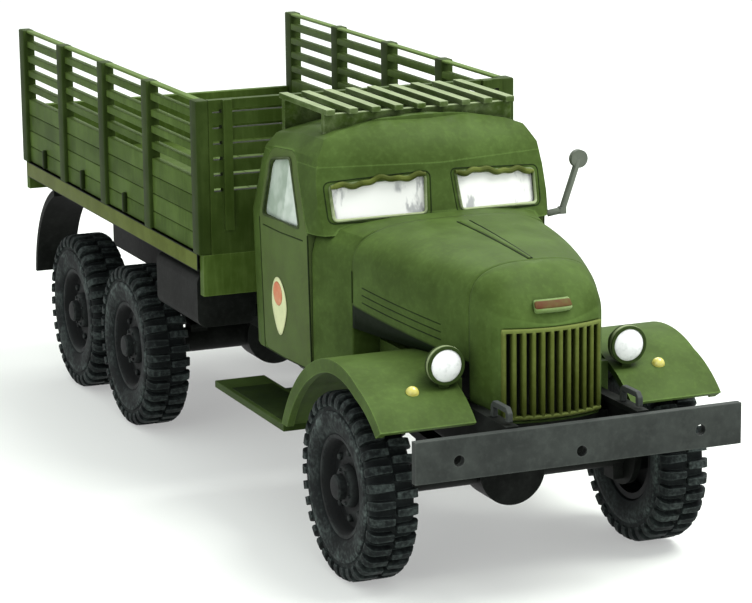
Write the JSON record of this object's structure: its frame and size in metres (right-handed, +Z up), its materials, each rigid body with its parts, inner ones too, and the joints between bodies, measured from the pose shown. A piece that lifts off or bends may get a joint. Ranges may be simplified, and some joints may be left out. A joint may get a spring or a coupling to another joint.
{
  "type": "six-wheel cargo truck scale model",
  "caption": "Small-scale plastic model of a bonneted six-wheel military cargo truck with a high slatted cargo bed; the wheels roll on stub pins.",
  "frame": {"origin": "middle of the bounding box on the ground plane, under the wheels", "axes": "+X forward towards the bumper, +Y to the driver's left, +Z up"},
  "size_m": [0.094, 0.0294, 0.034],
  "materials": {
    "green_paint": "satin mid green",
    "olive_paint": "satin lighter olive green",
    "black_paint": "matt black",
    "bumper_grey": "matt dark grey",
    "steel_paint": "pale silver",
    "rim_paint": "matt black",
    "tyre": "matt",
    "seat_vinyl": "matt dark brown",
    "clear_glazing": "clear plastic",
    "lamp_silver": "silver",
    "lamp_gold": "gold"
  },
  "bodies": {
    "chassis": {"bed_beams": "olive_paint", "bed_bearers": "olive_paint", "bed_floor": "olive_paint", "bed_headboard": "olive_paint", "bed_side_left": "olive_paint", "bed_side_right": "olive_paint", "bed_tailgate": "olive_paint", "cab_back": "green_paint", "cab_cowl": "green_paint", "cab_floor": "green_paint", "cab_roof": "green_paint", "dashboard": "black_paint", "door_glass": "clear_glazing", "door_left": "green_paint", "door_right": "green_paint", "engine_block": "black_paint", "fender_left": "green_paint", "fender_right": "green_paint", "frame_crossmembers": "black_paint", "frame_rail_left": "black_paint", "frame_rail_right": "black_paint", "front_axle": "black_paint", "front_bumper": "bumper_grey", "front_springs": "black_paint", "fuel_tanks": "black_paint", "grille": "olive_paint", "headlamp_lenses": "lamp_silver", "headlamps": "green_paint", "hood": "green_paint", "marker_lamps": "lamp_gold", "middle_axle": "black_paint", "mirror_left": "black_paint", "nose_shell": "green_paint", "radiator": "black_paint", "rear_axle": "black_paint", "rear_glass": "clear_glazing", "rear_mudguards": "black_paint", "rear_springs": "black_paint", "roof_rack": "olive_paint", "running_boards": "green_paint", "seat_bench": "seat_vinyl", "steering_wheel": "black_paint", "tow_hooks": "steel_paint", "transfer_case_and_shafts": "black_paint", "windscreen_frame": "green_paint", "windscreen_glass": "clear_glazing", "wipers": "black_paint"},
    "wheel_front_left": {"rim_front_left": "rim_paint", "tyre_front_left": "tyre"},
    "wheel_front_right": {"rim_front_right": "rim_paint", "tyre_front_right": "tyre"},
    "wheel_middle_left": {"rim_middle_left": "rim_paint", "tyre_middle_left": "tyre"},
    "wheel_middle_right": {"rim_middle_right": "rim_paint", "tyre_middle_right": "tyre"},
    "wheel_rear_left": {"rim_rear_left": "rim_paint", "tyre_rear_left": "tyre"},
    "wheel_rear_right": {"rim_rear_right": "rim_paint", "tyre_rear_right": "tyre"}
  },
  "joints": [
    {"name": "roll_front_left", "type": "hinge", "parent": "chassis", "child": "wheel_front_left", "pos_m": [0.03363, 0.01235, 0.0074], "axis": [0, 1, 0], "continuous": true},
    {"name": "roll_front_right", "type": "hinge", "parent": "chassis", "child": "wheel_front_right", "pos_m": [0.03363, -0.01235, 0.0074], "axis": [0, 1, 0], "continuous": true},
    {"name": "roll_middle_left", "type": "hinge", "parent": "chassis", "child": "wheel_middle_left", "pos_m": [-0.01738, 0.01235, 0.0074], "axis": [0, 1, 0], "continuous": true},
    {"name": "roll_middle_right", "type": "hinge", "parent": "chassis", "child": "wheel_middle_right", "pos_m": [-0.01738, -0.01235, 0.0074], "axis": [0, 1, 0], "continuous": true},
    {"name": "roll_rear_left", "type": "hinge", "parent": "chassis", "child": "wheel_rear_left", "pos_m": [-0.03327, 0.01235, 0.0074], "axis": [0, 1, 0], "continuous": true},
    {"name": "roll_rear_right", "type": "hinge", "parent": "chassis", "child": "wheel_rear_right", "pos_m": [-0.03327, -0.01235, 0.0074], "axis": [0, 1, 0], "continuous": true}
  ]
}
